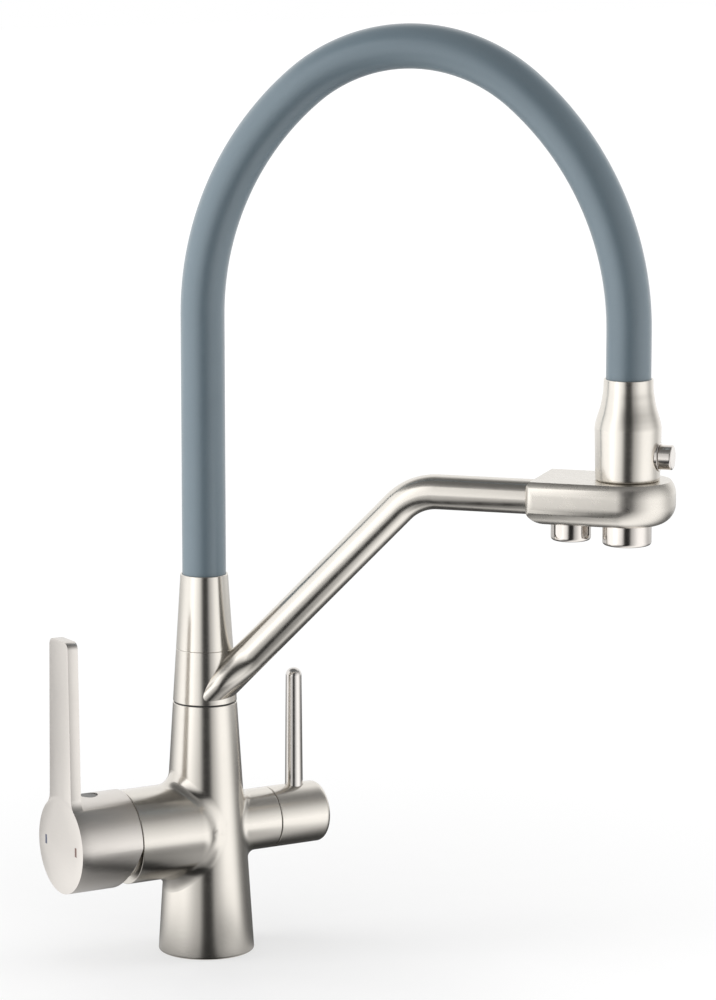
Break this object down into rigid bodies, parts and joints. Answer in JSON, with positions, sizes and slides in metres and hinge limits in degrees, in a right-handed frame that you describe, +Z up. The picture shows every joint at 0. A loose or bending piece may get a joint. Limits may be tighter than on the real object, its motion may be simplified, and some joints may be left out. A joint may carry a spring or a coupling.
{
  "type": "drinking water filter tap",
  "caption": "Deck-mounted kitchen tap with mixer lever, filtered-water lever, swivelling arm with twin outlets and an arched silicone hose.",
  "frame": {"origin": "centre of the base's underside, on the deck", "axes": "+Z up; +X along the valve axis towards the filtered-water knob; -Y towards the user"},
  "size_m": [0.2684, 0.2241, 0.5028],
  "materials": {
    "brushed_nickel": "satin brushed nickel plate on brass",
    "lever_nickel": "satin nickel plate on zinc",
    "rod_nickel": "fine satin nickel plate",
    "silicone": "matt blue-grey silicone",
    "pex": "natural plastic tube",
    "brass": "machined brass",
    "seal": "black rubber",
    "slip_plastic": "black acetal",
    "cartridge_plastic": "ivory plastic",
    "ceramic": "lapped ceramic",
    "steel": "stainless steel",
    "dark_steel": "blackened set screw",
    "cap_plastic": "grey plastic",
    "aerator_plastic": "pale plastic",
    "hot_mark": "dark enamel",
    "cold_mark": "dark enamel"
  },
  "bodies": {
    "body": {"cast_body": "brushed_nickel", "inlet_insert": "brass", "base_gasket": "seal", "swivel_stem": "brass", "swivel_o_rings": "seal", "lower_slip_ring": "slip_plastic", "upper_slip_ring": "slip_plastic", "stem_nut": "brass", "cartridge_base": "cartridge_plastic", "mixer_fixed_disc": "ceramic", "cartridge_shell": "cartridge_plastic", "cartridge_nut": "brass", "dome_cover": "brushed_nickel", "headwork_body": "brass", "filter_fixed_disc": "ceramic"},
    "mixer_carrier": {"cartridge_rotor": "cartridge_plastic", "mixer_moving_disc": "ceramic", "stem_pin": "steel"},
    "mixer_handle": {"cartridge_stem": "steel", "mixer_lever": "lever_nickel", "lever_set_screw": "dark_steel", "lever_screw_cap": "cap_plastic", "hot_mark": "hot_mark", "cold_mark": "cold_mark"},
    "filter_handle": {"filter_moving_disc": "ceramic", "filter_spindle": "brass", "filter_knob": "brushed_nickel", "filter_rod": "rod_nickel", "knob_set_screw": "dark_steel"},
    "spout": {"swivel_collar": "brushed_nickel", "spout_arm": "brushed_nickel", "outlet_block": "brushed_nickel", "mixed_outlet": "brushed_nickel", "mixed_aerator": "aerator_plastic", "filtered_outlet": "brushed_nickel", "filtered_aerator": "aerator_plastic", "hose_cone": "brushed_nickel", "lower_hose_tail": "brass", "silicone_hose": "silicone", "inner_hose": "pex", "upper_hose_tail": "brass", "hose_bell": "brushed_nickel", "diverter_bush": "brushed_nickel", "diverter_o_ring": "seal"},
    "diverter": {"diverter_stem": "brass", "diverter_knob": "brushed_nickel"}
  },
  "joints": [
    {"name": "mixer_temperature", "type": "hinge", "parent": "body", "child": "mixer_carrier", "pos_m": [-0.045, 0, 0.0683], "axis": [1, 0, 0], "range_deg": [-45, 45]},
    {"name": "mixer_flow", "type": "hinge", "parent": "mixer_carrier", "child": "mixer_handle", "pos_m": [-0.045, 0, 0.0683], "axis": [0, -1, 0], "range_deg": [0, 20]},
    {"name": "filter_turn", "type": "hinge", "parent": "body", "child": "filter_handle", "pos_m": [0.05, 0, 0.0683], "axis": [1, 0, 0], "range_deg": [0, 90]},
    {"name": "spout_swivel", "type": "hinge", "parent": "body", "child": "spout", "pos_m": [0, 0, 0.15], "axis": [0, 0, 1], "continuous": true},
    {"name": "diverter_pull", "type": "slide", "parent": "spout", "child": "diverter", "axis": [0.6691, -0.7431, 0], "range_m": [0, 0.005]}
  ]
}
